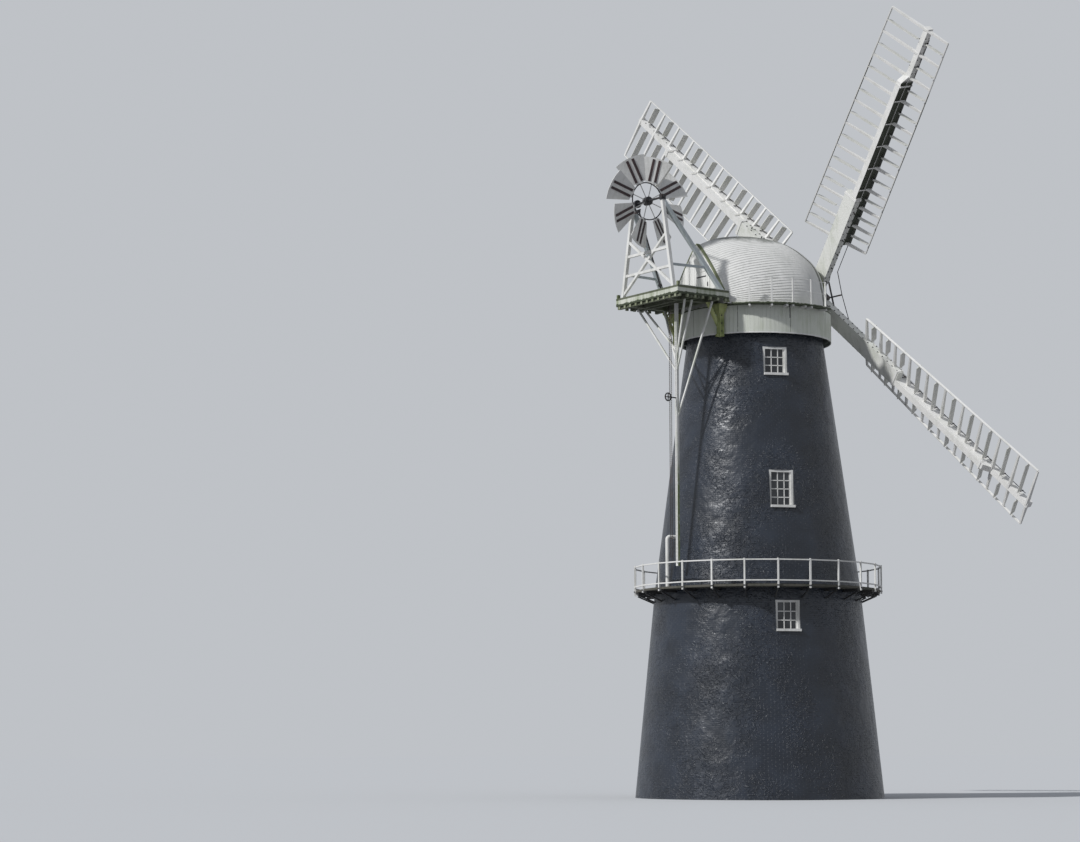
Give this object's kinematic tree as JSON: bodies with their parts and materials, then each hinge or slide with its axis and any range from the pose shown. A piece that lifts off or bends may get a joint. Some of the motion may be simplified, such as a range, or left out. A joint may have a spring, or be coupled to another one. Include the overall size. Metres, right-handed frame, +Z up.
{
  "type": "tower windmill",
  "caption": "Tall tarred brick tower mill with boat-shaped turning cap, stage, gallery, fan and double-sided shuttered sails.",
  "frame": {"origin": "centre of the round tower at ground level", "axes": "+Z up; the sails face -Y and the fan stands at +Y; -X is the side with the near windows"},
  "size_m": [20.016, 13.0332, 29.0365],
  "materials": {
    "tarred_brick": "matte",
    "floor_stone": "matte",
    "floor_timber": "matte",
    "white_timber": "matte",
    "dark_timber": "matte",
    "black_iron": "satin",
    "white_metal": "satin",
    "window_glass": "gloss"
  },
  "bodies": {
    "tower": {"tower_wall_lower_1": "tarred_brick", "tower_wall_lower_2": "tarred_brick", "tower_wall_lower_3": "tarred_brick", "tower_wall_lower_4": "tarred_brick", "tower_wall_upper_1": "tarred_brick", "tower_wall_upper_2": "tarred_brick", "tower_wall_upper_3": "tarred_brick", "tower_wall_upper_4": "tarred_brick", "ground_floor": "floor_stone", "timber_floors": "floor_timber", "curb_ring": "black_iron", "window_frames": "white_timber", "window_panes": "window_glass", "door_frames": "white_timber", "door_leaves": "white_timber", "stage_deck": "dark_timber", "stage_brackets": "black_iron", "stage_railing": "white_timber", "vent_pipe": "white_metal"},
    "cap": {"cap_ring": "dark_timber", "cap_sheers": "dark_timber", "cap_shell": "white_timber", "rear_gable": "white_timber", "gable_door": "white_timber", "petticoat": "white_timber", "gallery_floor": "white_timber", "gallery_railing": "white_metal", "fan_stage_deck": "white_timber", "fan_stage_fascia": "white_timber", "tail_brackets": "dark_timber", "fan_posts": "white_timber", "fan_long_braces": "white_timber", "fan_bearings": "black_iron", "fan_drive": "black_iron", "chain_pole": "white_timber", "chain_guide": "black_iron", "hand_chain": "black_iron", "shaft_bearings": "black_iron"},
    "sails": {"windshaft": "black_iron", "poll_end": "black_iron", "stock_1": "white_timber", "stock_2": "white_timber", "sail_frame_1": "white_timber", "sail_frame_2": "white_timber", "sail_frame_3": "white_timber", "sail_frame_4": "white_timber", "sail_shutters_1": "white_timber", "sail_shutters_2": "white_timber", "sail_shutters_3": "white_timber", "sail_shutters_4": "white_timber", "spider_gear": "black_iron"},
    "fan": {"fan_axle": "black_iron", "fan_ring": "black_iron", "fan_blades": "white_timber"}
  },
  "joints": [
    {"name": "cap_turn", "type": "hinge", "parent": "tower", "child": "cap", "pos_m": [0, 0, 18.1], "axis": [0, 0, 1], "continuous": true},
    {"name": "windshaft_turn", "type": "hinge", "parent": "cap", "child": "sails", "pos_m": [0, -3.05, 19.395], "axis": [0, -0.9686, 0.2487], "continuous": true},
    {"name": "fan_turn", "type": "hinge", "parent": "cap", "child": "fan", "pos_m": [0, 5.15, 22.4], "axis": [1, 0, 0], "continuous": true}
  ]
}
